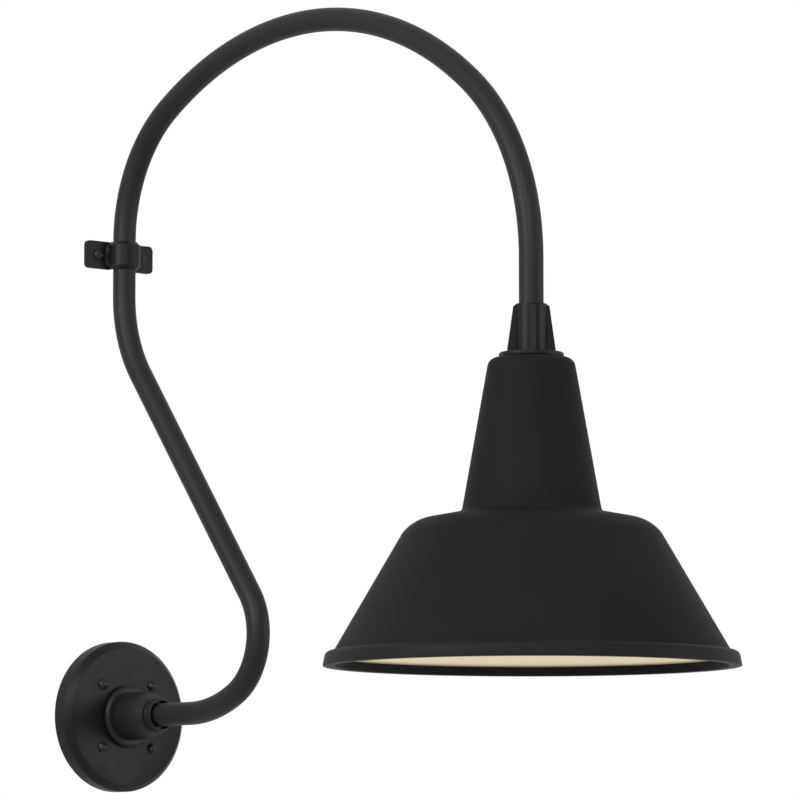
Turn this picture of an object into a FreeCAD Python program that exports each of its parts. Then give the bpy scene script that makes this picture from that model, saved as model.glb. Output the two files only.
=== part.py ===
import FreeCAD, Part

import math
import os

import Sketcher
from FreeCAD import Placement, Rotation, Vector

# Barn light with a gooseneck arm, in millimetres.
# X points out of the wall, Z up. The origin is the middle of the wall plate, on the wall.

# clearances between pieces
easy_gap = 0.3
slide_gap = 0.08

# wall plate and the rubber ring behind it
plate_radius = 70.0
plate_depth = 19.7
plate_chamfer = 5.7
plate_face_wall = 4.0
plate_rim_wall = 6.0
plate_edge_round = 0.9
plate_screw_spacing = 58.3
post_radius = 6.5
gasket_inset = 3.0
gasket_width = 7.0
gasket_thickness = 2.0

# ground screw and its post
ground_post_drop = 34.0
ground_post_height = 7.0
ground_thread_radius = 2.0
ground_thread_length = 6.0
ground_head_radius = 4.4
ground_head_height = 2.8

# screws through the plate and through the clamp into the wall
mount_thread_radius = 2.4
mount_thread_length = 14.5
mount_point_length = 3.0
mount_shank_relief = 0.4
mount_hole_gap = 0.35
plate_head_radius = 5.0
plate_head_height = 4.0
clamp_head_radius = 5.5
clamp_head_height = 4.2
head_edge = 1.1
slot_width = 1.4
slot_depth = 1.6

# hub and its lock nut
hub_length = 43.0
hub_ring_width = 5.3
hub_ring_height = 7.2
hub_ring_round_share = 0.46
hub_step_width = 1.3
hub_step_height = 1.1
hub_taper = 4.3
hub_bulge_radius = 125.0
hub_nose_wall = 4.0
hub_pocket_depth = 8.0
hub_wire_radius = 7.0
hub_tail_wall = 3.0
hub_tail_past_nut = 3.7
hub_screw_setback = 18.7
locknut_wall = 5.0
locknut_height = 5.5

# collar nut and the rubber ring under it
collar_length = 8.8
collar_flange_height = 1.3
collar_flange_round = 0.6
collar_step = 3.4
collar_cove_round = 1.2
collar_lip_round = 0.6
collar_mouth_gap = 2.2
collar_mouth_depth = 5.6
collar_spigot_length = 4.0
seal_width = 3.35

# set screws
set_screw_radius = 2.2
set_screw_key_flats = 2.5
set_screw_key_depth = 2.0

# arm, a bent half-inch pipe
reach = 576.5
clamp_height = 433.5
tube_radius = 10.65
tube_wall = 2.0
arm_seat_depth = 32.7
arm_wall_gap = 0.35
arm_first_run = 113.5
arm_sweep_bend = 140.0
arm_sweep_angle = 27.5
arm_first_bend = 60.5
arm_second_bend = 125.0
arm_under_clamp = 25.0
arm_over_clamp = 1.8
arm_rise_bend = 138.0
arm_rise_angle = 57.8
arm_top_angle = 129.3
arm_over_fitter = 41.4

# strap clamp
clamp_width = 26.0
clamp_lug_thickness = 4.0
clamp_strap_thickness = 4.2
clamp_shoulder_share = 0.786
clamp_corner_round = 4.5
clamp_foot_round = 2.4
clamp_screw_spacing = 50.8
clamp_lug_past_screw = 14.0

# fitter on top of the shade
fitter_seat_height = 16.0
fitter_socket_depth = 30.2
fitter_wall = 2.45
fitter_flange_height = 4.5
fitter_flange_lip = 2.6
fitter_flange_round = 1.6
fitter_flange_under_round = 1.3
fitter_screw_drop = 13.2
fin_thickness = 4.8
fin_foot_reach = 7.7
fin_top_reach = 2.1
fin_top_drop = 2.0
fin_turn_angle = -38.0
fin_half_step_angle = 45.0
fitter_gasket_inner_radius = 20.0
fitter_gasket_width = 5.0
fitter_gasket_thickness = 1.2

# shade
mouth_height = 25.4
shade_edge_radius = 171.8
shade_height = 255.7
shade_wall = 1.5
shade_neck_height = 132.0
shade_neck_top_radius = 36.45
shade_neck_spread = 23.45
shade_dome_angle = 10.8
shade_cone_angle = 30.2
shade_crown_round = 8.0
shade_foot_round = 5.0
shade_shoulder_round = 29.4

# rim
rim_drop = 7.9
rim_rise = 4.7
rim_ledge = 3.8
rim_thickness = 4.0
rim_flare = 2.4
rim_edge_round = 0.7
rim_shoulder_round = 4.6

# nipple, washer, nuts and bridge that hang the lampholder
nipple_radius = 5.0
nipple_wall = 1.5
nipple_top_gap = 2.0
nipple_past_nut = 1.5
washer_radius = 20.0
washer_thickness = 2.0
nipple_nut_flats = 17.0
nipple_nut_height = 5.0
bridge_rise = 12.5
bridge_width = 16.0
bridge_thickness = 2.0
bridge_half_plateau = 14.0
bridge_past_screw = 4.0

# lampholder
porcelain_wall = 4.3
porcelain_round = 1.2
porcelain_past_shell = 7.0
holder_flange_height = 7.0
holder_flange_past_screw = 5.0
holder_floor_thickness = 5.0
holder_pocket_radius = 5.0
holder_pocket_height = 8.0
holder_head_room = 0.7
holder_screw_radius = 1.9
holder_head_radius = 3.6
holder_head_height = 2.2
shell_inner_radius = 13.4
shell_wall = 0.5
shell_length = 27.0
shell_sleeve_length = 22.0
shell_step = 1.0
shell_hole_radius = 5.5
contact_button_radius = 3.4
contact_button_height = 1.8
contact_stem_radius = 1.5
contact_stroke = 1.5
contact_disc_radius = 3.4
contact_disc_height = 0.8
spring_coil_radius = 2.4
spring_wire_radius = 0.3
spring_turns = 4
terminal_width = 9.0
terminal_length = 11.0
terminal_thickness = 0.8
terminal_offset = 18.5
terminal_screw_length = 5.0


class Size:
    """A length or angle: its value now, and the formula in the table's names that gives it."""

    def __init__(self, value, text):
        self.value = value
        self.text = text

    def __add__(self, other):
        return joined(self, "+", other)

    def __sub__(self, other):
        return joined(self, "-", other)

    def __rsub__(self, other):
        return joined(other, "-", self)

    def __mul__(self, other):
        return joined(self, "*", other)

    def __truediv__(self, other):
        return joined(self, "/", other)

    def __neg__(self):
        return joined(0, "-", self)


def as_size(number):
    if isinstance(number, Size):
        return number
    return Size(float(number), str(number))


def joined(left, sign, right):
    left = as_size(left)
    right = as_size(right)
    results = {
        "+": left.value + right.value,
        "-": left.value - right.value,
        "*": left.value * right.value,
    }
    value = left.value / right.value if sign == "/" else results[sign]
    return Size(value, f"({left.text} {sign} {right.text})")


def sine(angle):
    return Size(math.sin(math.radians(angle.value)), f"sin({angle.text})")


def cosine(angle):
    return Size(math.cos(math.radians(angle.value)), f"cos({angle.text})")


def tangent(angle):
    return Size(math.tan(math.radians(angle.value)), f"tan({angle.text})")


def angle_of_sine(ratio):
    return Size(math.degrees(math.asin(ratio.value)), f"asin({ratio.text})")


def angle_of_tangent(ratio):
    return Size(math.degrees(math.atan(ratio.value)), f"atan({ratio.text})")


def square_root(number):
    return Size(math.sqrt(number.value), f"sqrt({number.text})")


# Each number named above fills one cell of the table, and from here on its name means that cell.
doc = FreeCAD.newDocument("barn_light")
table = doc.addObject("Spreadsheet::Sheet", "Sizes")
numbers = {name: number for name, number in dict(globals()).items() if type(number) in (int, float)}
for row, (name, number) in enumerate(numbers.items(), start=1):
    table.set(f"A{row}", name.replace("_", " "))
    table.set(f"B{row}", str(number))
    table.setAlias(f"B{row}", name)
    globals()[name] = Size(float(number), f"Sizes.{name}")
doc.recompute()

# What follows from those sizes: first the screws and the rubber ring at the wall.
gasket_outer_radius = plate_radius - gasket_inset
gasket_inner_radius = gasket_outer_radius - gasket_width
mount_shank_radius = mount_thread_radius - mount_shank_relief
mount_hole_radius = mount_thread_radius + mount_hole_gap

# The hub grows outwards from the tube that it holds, and stands on the plate.
hub_pocket_radius = tube_radius + seal_width
hub_nose_radius = hub_pocket_radius + hub_nose_wall
hub_body_radius = hub_nose_radius + hub_taper
hub_step_radius = hub_body_radius + hub_step_width
hub_ring_radius = hub_step_radius + hub_ring_width
hub_tail_radius = hub_wire_radius + hub_tail_wall
hub_nose_reach = plate_depth + hub_length
hub_screw_reach = hub_nose_reach - hub_screw_setback
locknut_reach = plate_depth - plate_face_wall - locknut_height
collar_ring_radius = hub_nose_radius - collar_step
collar_reach = hub_nose_reach + collar_length

# The arm starts inside the hub, lies against the wall under the clamp and ends inside the fitter.
arm_start = hub_nose_reach - arm_seat_depth
arm_offset = tube_radius + arm_wall_gap
arm_foot_of_clamp = clamp_height - clamp_width / 2 - arm_under_clamp
arm_arch_foot = clamp_height + clamp_width / 2 + arm_over_clamp
clamp_lug_half_width = clamp_screw_spacing / 2 + clamp_lug_past_screw

# Shade, fitter and lampholder stand over the mouth of the shade.
shade_edge = mouth_height + rim_drop
shade_top = shade_edge + shade_height
shade_neck_foot = shade_top - shade_neck_height
shade_neck_foot_radius = shade_neck_top_radius + shade_neck_spread
arm_end = shade_top + fitter_seat_height
fitter_top = arm_end + fitter_socket_depth
fitter_body_radius = tube_radius + easy_gap + fitter_wall
fitter_gasket_outer_radius = fitter_gasket_inner_radius + fitter_gasket_width
fitter_flange_radius = fitter_gasket_outer_radius + easy_gap + fitter_flange_lip
fitter_screw_height = fitter_top - fitter_screw_drop
bridge_top = shade_top - shade_wall - washer_thickness - nipple_nut_height
holder_top = bridge_top - bridge_rise
holder_floor = holder_top - holder_pocket_height - holder_floor_thickness
shell_outer_radius = shell_inner_radius + shell_wall
holder_body_radius = shell_outer_radius + easy_gap + porcelain_wall
holder_screw_offset = holder_body_radius + porcelain_round + holder_head_radius + holder_head_room
holder_flange_radius = holder_screw_offset + holder_flange_past_screw

axis_x_forward = Rotation(Vector(0, 1, 0), 90)


def body_named(label):
    body = doc.addObject("PartDesign::Body", label)
    body.Label = label
    return body


def sketch_in(body, role, lift=None, turn=0):
    """A sketch on one of the body's own planes, lifted along the plane's normal if asked."""
    plane = [feature for feature in body.Origin.OriginFeatures if feature.Role == role][0]
    sketch = body.newObject("Sketcher::SketchObject", f"{body.Label}_outline")
    sketch.AttachmentSupport = [(plane, "")]
    sketch.MapMode = "FlatFace"
    height = lift.value if lift else 0
    sketch.AttachmentOffset = Placement(Vector(0, 0, height), Rotation(Vector(0, 1, 0), turn))
    if lift:
        sketch.setExpression("AttachmentOffset.Base.z", lift.text)
    return sketch


def bind_point(sketch, edge, end, point):
    """Ties one end of an edge to its place, measured from the sketch's origin."""
    for kind, axis, distance in (("DistanceX", -2, point[0]), ("DistanceY", -1, point[1])):
        if isinstance(distance, Size):
            index = sketch.addConstraint(Sketcher.Constraint(kind, -1, 1, edge, end, distance.value))
            sketch.setExpression(f"Constraints[{index}]", distance.text)
        else:
            sketch.addConstraint(Sketcher.Constraint("PointOnObject", edge, end, axis))


def arc_between(start, end, radius, turns_left):
    chord = end - start
    left = Vector(-chord.y, chord.x, 0).normalize()
    side = 1 if turns_left else -1
    centre = start + chord * 0.5 + left * side * math.sqrt(radius ** 2 - chord.Length ** 2 / 4)
    return Part.Arc(start, centre - left * side * radius, end)


def outline(sketch, corners, closed=True):
    """Joins corners with lines. A corner with a radius and a side is reached along an arc."""
    count = len(corners) if closed else len(corners) - 1
    ends = []
    for step in range(count):
        start = corners[step]
        end = corners[(step + 1) % len(corners)]
        first = Vector(as_size(start[0]).value, as_size(start[1]).value, 0)
        last = Vector(as_size(end[0]).value, as_size(end[1]).value, 0)
        if len(end) == 2:
            edge = sketch.addGeometry(Part.LineSegment(first, last), False)
            ends.append((edge, 1, 2))
        else:
            radius = end[2]
            turns_left = end[3] == "left"
            edge = sketch.addGeometry(arc_between(first, last, radius.value, turns_left), False)
            ends.append((edge, 1, 2) if turns_left else (edge, 2, 1))
            index = sketch.addConstraint(Sketcher.Constraint("Radius", edge, radius.value))
            sketch.setExpression(f"Constraints[{index}]", radius.text)
        bind_point(sketch, edge, ends[-1][1], start)
    for step in range(1, count):
        before = ends[step - 1]
        after = ends[step]
        sketch.addConstraint(Sketcher.Constraint("Coincident", before[0], before[2], after[0], after[1]))
    if closed:
        before = ends[-1]
        after = ends[0]
        sketch.addConstraint(Sketcher.Constraint("Coincident", before[0], before[2], after[0], after[1]))
    else:
        bind_point(sketch, ends[-1][0], ends[-1][2], corners[-1])
    return sketch


def circle(sketch, across, up, radius):
    centre = Vector(as_size(across).value, as_size(up).value, 0)
    edge = sketch.addGeometry(Part.Circle(centre, Vector(0, 0, 1), radius.value), False)
    bind_point(sketch, edge, 3, (across, up))
    index = sketch.addConstraint(Sketcher.Constraint("Radius", edge, radius.value))
    sketch.setExpression(f"Constraints[{index}]", radius.text)
    return sketch


def hexagon(sketch, flats):
    """A hexagon round the sketch's origin, two of its flats along the first axis."""
    corner = flats / math.sqrt(3)
    half = corner / 2
    flat = flats / 2
    return outline(sketch, [
        (corner, 0),
        (half, flat),
        (-half, flat),
        (-corner, 0),
        (-half, -flat),
        (half, -flat),
    ])


def turned(body, corners):
    """A revolved solid about the body's own Z axis; corners are (radius, height)."""
    sketch = outline(sketch_in(body, "XZ_Plane"), corners)
    turn = body.newObject("PartDesign::Revolution", f"{body.Label}_turned")
    turn.Profile = sketch
    turn.ReferenceAxis = (sketch, ["V_Axis"])
    turn.Angle = 360
    sketch.Visibility = False
    doc.recompute()
    return turn


def padded(body, sketch, length, midplane=False):
    pad = body.newObject("PartDesign::Pad", f"{body.Label}_pad")
    pad.Profile = sketch
    pad.Midplane = midplane
    pad.setExpression("Length", length.text)
    doc.recompute()
    return pad


def pocketed(body, sketch, length, midplane=False, reversed_way=False):
    """Cuts a sketch into the body and makes sure that it removed something."""
    before = body.Shape.Volume
    pocket = body.newObject("PartDesign::Pocket", f"{body.Label}_pocket")
    pocket.Profile = sketch
    pocket.Midplane = midplane
    pocket.Reversed = reversed_way
    pocket.setExpression("Length", length.text)
    doc.recompute()
    if body.Shape.Volume >= before:
        raise RuntimeError(f"the pocket in {body.Label} removed nothing")
    return pocket


def rounded(body, radius, chosen):
    """Rounds the edges of the body's last feature that the test picks."""
    base = body.Tip
    names = [f"Edge{number + 1}" for number, edge in enumerate(base.Shape.Edges) if chosen(edge)]
    if not names:
        raise RuntimeError(f"no edge to round on {body.Label}")
    fillet = body.newObject("PartDesign::Fillet", f"{body.Label}_round")
    fillet.Base = (base, names)
    fillet.setExpression("Radius", radius.text)
    doc.recompute()
    return fillet


def near(first, second):
    return abs(first - second) < 0.01


def ring_at(*places):
    """Picks whole circles about the Z axis by radius and height."""
    def chosen(edge):
        if edge.Curve.TypeId != "Part::GeomCircle" or not edge.isClosed():
            return False
        spot = edge.Curve
        return any(near(spot.Radius, radius.value) and near(spot.Center.z, as_size(height).value)
                   for radius, height in places)
    return chosen


def stand_at(body, across=None, side=None, up=None):
    """Ties the body's place to the table."""
    for letter, distance in (("x", across), ("y", side), ("z", up)):
        if distance is not None:
            setattr(body.Placement.Base, letter, distance.value)
            body.setExpression(f"Placement.Base.{letter}", distance.text)


def face_forward(body):
    """Turns a piece drawn upright so that its axis points out of the wall."""
    body.Placement = Placement(Vector(0, 0, 0), axis_x_forward)


def linked_group(label, first, places):
    """Identical pieces as one group: the first one and links to it at the other places."""
    members = [first]
    for number, (across, side, up) in enumerate(places):
        copy = doc.addObject("App::Link", f"{label}_copy_{number + 2}")
        copy.LinkedObject = first
        copy.LinkTransform = False
        copy.Placement = Placement(first.Placement)
        stand_at(copy, across, side, up)
        members.append(copy)
    group = doc.addObject("Part::Compound", label)
    group.Label = label
    group.Links = members
    return group


def slotted_screw(label, head_radius, head_height, grip):
    """A dome-head slotted screw drawn with its head up; the head's underside is at zero.

    The shank is thinner than the thread for the whole grip, so the thread starts at the wall.
    """
    body = body_named(label)
    thread_end = grip + mount_thread_length
    dome_rise = head_height - head_edge
    dome_radius = (head_radius * head_radius + dome_rise * dome_rise) / (dome_rise * 2)
    turned(body, [
        (0, head_height, dome_radius, "left"),
        (0, -(thread_end + mount_point_length)),
        (mount_thread_radius, -thread_end),
        (mount_thread_radius, -grip),
        (mount_shank_radius, -grip),
        (mount_shank_radius, 0),
        (head_radius, 0),
        (head_radius, head_edge),
    ])
    cut_slot(body, head_radius, head_height, slot_width, slot_depth)
    return body


def cut_slot(body, head_radius, head_height, width, depth):
    """A straight slot across the top of a head, along the body's Y axis."""
    sketch = sketch_in(body, "XZ_Plane")
    outline(sketch, [
        (width / 2, head_height - depth),
        (width / 2, head_height + depth),
        (-(width / 2), head_height + depth),
        (-(width / 2), head_height - depth),
    ])
    pocketed(body, sketch, head_radius * 4, midplane=True)


def set_screw(label, length):
    """A headless screw with a hexagon key hole in its outer end; the tip is at zero."""
    body = body_named(label)
    sketch = circle(sketch_in(body, "XY_Plane"), 0, 0, set_screw_radius)
    padded(body, sketch, length)
    key = hexagon(sketch_in(body, "XY_Plane", length - set_screw_key_depth), set_screw_key_flats)
    pocketed(body, key, set_screw_key_depth, reversed_way=True)
    return body


def hexagon_nut(label, flats, height, bore_radius):
    """A plain nut standing on zero."""
    body = body_named(label)
    sketch = hexagon(sketch_in(body, "XY_Plane"), flats)
    circle(sketch, 0, 0, bore_radius)
    padded(body, sketch, height)
    return body


# The plate is a shallow dish with its hollow side to the wall.
# Four posts carry the screws and one shorter post takes the ground screw.
def make_wall_plate():
    body = body_named("wall_plate")
    inside_radius = plate_radius - plate_rim_wall
    face_back = plate_depth - plate_face_wall
    hole_radius = hub_tail_radius + easy_gap
    turned(body, [
        (hole_radius, face_back),
        (inside_radius, face_back),
        (inside_radius, gasket_thickness),
        (gasket_outer_radius, gasket_thickness),
        (gasket_outer_radius, 0),
        (plate_radius, 0),
        (plate_radius, plate_depth - plate_chamfer),
        (plate_radius - plate_chamfer, plate_depth),
        (hole_radius, plate_depth),
    ])
    rounded(body, plate_edge_round, ring_at(
        (plate_radius, plate_depth - plate_chamfer),
        (plate_radius - plate_chamfer, plate_depth),
    ))
    half = plate_screw_spacing / 2
    posts = sketch_in(body, "XY_Plane")
    for across in (half, -half):
        for up in (half, -half):
            circle(posts, across, up, post_radius)
    padded(body, posts, face_back)
    holes = sketch_in(body, "XY_Plane")
    for across in (half, -half):
        for up in (half, -half):
            circle(holes, across, up, mount_hole_radius)
    pocketed(body, holes, plate_depth, reversed_way=True)
    ground_floor = face_back - ground_post_height
    ground_post = circle(sketch_in(body, "XY_Plane", ground_floor), ground_post_drop, 0, post_radius)
    padded(body, ground_post, ground_post_height)
    ground_hole = sketch_in(body, "XY_Plane", ground_floor)
    circle(ground_hole, ground_post_drop, 0, ground_thread_radius + slide_gap)
    pocketed(body, ground_hole, ground_thread_length + easy_gap, reversed_way=True)
    face_forward(body)


def make_wall_gasket():
    body = body_named("wall_gasket")
    outer_radius = gasket_outer_radius - easy_gap
    turned(body, [
        (gasket_inner_radius, 0),
        (outer_radius, 0),
        (outer_radius, gasket_thickness),
        (gasket_inner_radius, gasket_thickness),
    ])
    face_forward(body)


def make_plate_screws():
    half = plate_screw_spacing / 2
    screw = slotted_screw("plate_screw", plate_head_radius, plate_head_height, plate_depth)
    face_forward(screw)
    stand_at(screw, plate_depth, -half, -half)
    places = [(plate_depth, -half, half), (plate_depth, half, -half), (plate_depth, half, half)]
    linked_group("plate_screws", screw, places)


def make_ground_screw():
    """Threaded into the short post, head towards the wall."""
    body = body_named("ground_screw")
    floor = plate_depth - plate_face_wall - ground_post_height
    turned(body, [
        (0, -ground_head_height),
        (ground_head_radius, -ground_head_height),
        (ground_head_radius, 0),
        (ground_thread_radius, 0),
        (ground_thread_radius, ground_thread_length),
        (0, ground_thread_length),
    ])
    sketch = sketch_in(body, "XZ_Plane")
    slot_floor = -ground_head_height / 2
    outline(sketch, [
        (slot_width / 2, slot_floor),
        (-(slot_width / 2), slot_floor),
        (-(slot_width / 2), -ground_head_height * 2),
        (slot_width / 2, -ground_head_height * 2),
    ])
    pocketed(body, sketch, ground_head_radius * 4, midplane=True)
    face_forward(body)
    stand_at(body, floor, None, -ground_post_drop)


# The hub is a thick ring and a domed body, bored for the tube from the front.
# Its threaded tail passes through the plate and a hexagon nut pulls it tight.
def make_hub():
    body = body_named("hub")
    bore_radius = tube_radius + easy_gap
    ring_front = plate_depth + hub_ring_height
    turned(body, [
        (hub_wire_radius, locknut_reach - hub_tail_past_nut),
        (hub_tail_radius, locknut_reach - hub_tail_past_nut),
        (hub_tail_radius, plate_depth),
        (hub_ring_radius, plate_depth),
        (hub_ring_radius, ring_front),
        (hub_step_radius, ring_front),
        (hub_step_radius, ring_front + hub_step_height),
        (hub_body_radius, ring_front + hub_step_height),
        (hub_nose_radius, hub_nose_reach, hub_bulge_radius, "left"),
        (hub_pocket_radius, hub_nose_reach),
        (hub_pocket_radius, hub_nose_reach - hub_pocket_depth),
        (bore_radius, hub_nose_reach - hub_pocket_depth),
        (bore_radius, arm_start),
        (hub_wire_radius, arm_start),
    ])
    ring_round = hub_ring_height * hub_ring_round_share
    rounded(body, ring_round, ring_at((hub_ring_radius, plate_depth), (hub_ring_radius, ring_front)))
    hole = circle(sketch_in(body, "XZ_Plane"), 0, hub_screw_reach, set_screw_radius + slide_gap)
    pocketed(body, hole, hub_ring_radius)
    face_forward(body)


def make_hub_locknut():
    flats = (hub_tail_radius + locknut_wall) * 2
    body = hexagon_nut("hub_locknut", flats, locknut_height, hub_tail_radius + slide_gap)
    face_forward(body)
    stand_at(body, locknut_reach)


def make_hub_set_screw():
    length = hub_nose_radius - tube_radius
    body = set_screw("hub_set_screw", length)
    body.Placement = Placement(Vector(0, 0, 0), Rotation(Vector(1, 0, 0), -90))
    stand_at(body, hub_screw_reach, tube_radius + slide_gap, as_size(0))


def make_collar_nut():
    """The nut at the hub's nose: a flat flange, a cove, and a plain ring with a rounded, open mouth."""
    body = body_named("collar_nut")
    bore_radius = tube_radius + easy_gap
    spigot_radius = hub_pocket_radius - slide_gap
    mouth_radius = tube_radius + collar_mouth_gap
    flange_front = hub_nose_reach + collar_flange_height
    turned(body, [
        (bore_radius, hub_nose_reach - collar_spigot_length),
        (spigot_radius, hub_nose_reach - collar_spigot_length),
        (spigot_radius, hub_nose_reach),
        (hub_nose_radius, hub_nose_reach),
        (hub_nose_radius, flange_front),
        (collar_ring_radius, flange_front),
        (collar_ring_radius, collar_reach),
        (mouth_radius, collar_reach),
        (mouth_radius, collar_reach - collar_mouth_depth),
        (bore_radius, collar_reach - collar_mouth_depth),
    ])
    rounded(body, collar_lip_round, ring_at((collar_ring_radius, collar_reach), (mouth_radius, collar_reach)))
    rounded(body, collar_flange_round, ring_at((hub_nose_radius, flange_front)))
    rounded(body, collar_cove_round, ring_at((collar_ring_radius, flange_front)))
    face_forward(body)


def make_arm_seal():
    """The rubber ring pressed between the collar nut and the hub."""
    body = body_named("arm_seal")
    back = hub_nose_reach - hub_pocket_depth
    front = hub_nose_reach - collar_spigot_length
    turned(body, [
        (tube_radius + easy_gap, back),
        (hub_pocket_radius - easy_gap, back),
        (hub_pocket_radius - easy_gap, front),
        (tube_radius + easy_gap, front),
    ])
    face_forward(body)


# The arm is one bent tube. Its centre line is worked out bend by bend:
# out of the hub, back up to the wall, straight through the clamp, over the arch and down to the shade.
# The first bend starts wide and then tightens. The leaning stretch touches that bend and the next one,
# so its angle follows from where the two bends lie. The last two bends of the arch share out
# the width and the drop that are left between the first one and the fitter.
def arm_line():
    widening = arm_sweep_bend - arm_first_bend
    sweep_end = (
        arm_first_run + arm_sweep_bend * sine(arm_sweep_angle),
        arm_sweep_bend - arm_sweep_bend * cosine(arm_sweep_angle),
    )
    first_centre = (
        arm_first_run + widening * sine(arm_sweep_angle),
        arm_sweep_bend - widening * cosine(arm_sweep_angle),
    )
    across = first_centre[0] - arm_offset - arm_second_bend
    along = arm_foot_of_clamp - first_centre[1]
    apart = square_root(across * across + along * along)
    lean = angle_of_tangent(across / along) + angle_of_sine((arm_first_bend + arm_second_bend) / apart)
    lean_foot = (first_centre[0] + arm_first_bend * cosine(lean), first_centre[1] + arm_first_bend * sine(lean))
    lean_top = (
        arm_offset + arm_second_bend - arm_second_bend * cosine(lean),
        arm_foot_of_clamp - arm_second_bend * sine(lean),
    )
    rise_end = (
        arm_offset + arm_rise_bend - arm_rise_bend * cosine(arm_rise_angle),
        arm_arch_foot + arm_rise_bend * sine(arm_rise_angle),
    )
    fall_end = fitter_top + arm_over_fitter
    width_left = reach - rise_end[0]
    drop_left = rise_end[1] - fall_end
    top_width_share = cosine(arm_rise_angle) - cosine(arm_top_angle)
    top_drop_share = sine(arm_rise_angle) - sine(arm_top_angle)
    fall_width_share = cosine(arm_top_angle) + 1
    fall_drop_share = sine(arm_top_angle)
    both_shares = top_width_share * fall_drop_share - fall_width_share * top_drop_share
    top_bend = (width_left * fall_drop_share - drop_left * fall_width_share) / both_shares
    fall_bend = (drop_left * top_width_share - width_left * top_drop_share) / both_shares
    top_end = (
        reach - fall_bend * fall_width_share,
        fall_end + fall_bend * fall_drop_share,
    )
    return [
        (arm_start, 0),
        (arm_first_run, 0),
        (sweep_end[0], sweep_end[1], arm_sweep_bend, "left"),
        (lean_foot[0], lean_foot[1], arm_first_bend, "left"),
        (lean_top[0], lean_top[1]),
        (arm_offset, arm_foot_of_clamp, arm_second_bend, "right"),
        (arm_offset, arm_arch_foot),
        (rise_end[0], rise_end[1], arm_rise_bend, "right"),
        (top_end[0], top_end[1], top_bend, "right"),
        (reach, fall_end, fall_bend, "right"),
        (reach, arm_end),
    ]


def make_arm():
    body = body_named("arm")
    path = outline(sketch_in(body, "XZ_Plane"), arm_line(), closed=False)
    section = sketch_in(body, "YZ_Plane", arm_start)
    circle(section, 0, 0, tube_radius)
    circle(section, 0, 0, tube_radius - tube_wall)
    doc.recompute()
    tube = body.newObject("PartDesign::AdditivePipe", "arm_tube")
    tube.Profile = section
    tube.Spine = (path, [f"Edge{number + 1}" for number in range(len(path.Shape.Edges))])
    doc.recompute()


# The clamp is a strap bent over the tube with a flat lug on each side.
def make_strap_clamp():
    body = body_named("strap_clamp")
    inside = tube_radius + easy_gap
    outside = inside + clamp_strap_thickness
    sketch = outline(sketch_in(body, "XY_Plane"), [
        (0, -inside),
        (0, -clamp_lug_half_width),
        (clamp_lug_thickness, -clamp_lug_half_width),
        (clamp_lug_thickness, -outside),
        (arm_offset, -outside),
        (arm_offset + outside, 0, outside, "left"),
        (arm_offset, outside, outside, "left"),
        (clamp_lug_thickness, outside),
        (clamp_lug_thickness, clamp_lug_half_width),
        (0, clamp_lug_half_width),
        (0, inside),
        (arm_offset, inside),
        (arm_offset + inside, 0, inside, "right"),
        (arm_offset, -inside, inside, "right"),
    ])
    padded(body, sketch, clamp_width, midplane=True)

    def over_the_tube(edge):
        box = edge.BoundBox
        inner = near(box.YMax, -inside.value) or near(box.YMin, inside.value)
        at_end = near(box.ZLength, 0) and near(abs(box.ZMin), clamp_width.value / 2)
        curved = edge.Curve.TypeId == "Part::GeomCircle" and near(edge.Curve.Radius, outside.value)
        straight = near(box.YLength, 0) and near(abs(box.YMin), outside.value)
        return at_end and not inner and (curved or straight)

    base = body.Tip
    names = [f"Edge{n + 1}" for n, edge in enumerate(base.Shape.Edges) if over_the_tube(edge)]
    shoulder = body.newObject("PartDesign::Chamfer", "strap_clamp_shoulder")
    shoulder.Base = (base, names)
    shoulder.setExpression("Size", (clamp_strap_thickness * clamp_shoulder_share).text)
    doc.recompute()

    def lug_corner(edge):
        box = edge.BoundBox
        across = near(box.YLength, 0) and near(box.ZLength, 0)
        return across and near(abs(box.YMin), clamp_lug_half_width.value)

    def strap_foot(edge):
        box = edge.BoundBox
        upright = near(box.XLength, 0) and near(box.YLength, 0)
        return upright and near(box.XMin, clamp_lug_thickness.value) and near(abs(box.YMin), outside.value)

    rounded(body, clamp_corner_round, lug_corner)
    rounded(body, clamp_foot_round, strap_foot)
    holes = sketch_in(body, "YZ_Plane")
    for side in (clamp_screw_spacing / 2, -(clamp_screw_spacing / 2)):
        circle(holes, side, 0, mount_hole_radius)
    pocketed(body, holes, clamp_lug_thickness * 2, reversed_way=True)
    stand_at(body, None, None, clamp_height)


def make_clamp_screws():
    half = clamp_screw_spacing / 2
    screw = slotted_screw("clamp_screw", clamp_head_radius, clamp_head_height, clamp_lug_thickness)
    face_forward(screw)
    stand_at(screw, clamp_lug_thickness, -half, clamp_height)
    linked_group("clamp_screws", screw, [(clamp_lug_thickness, half, clamp_height)])


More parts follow.
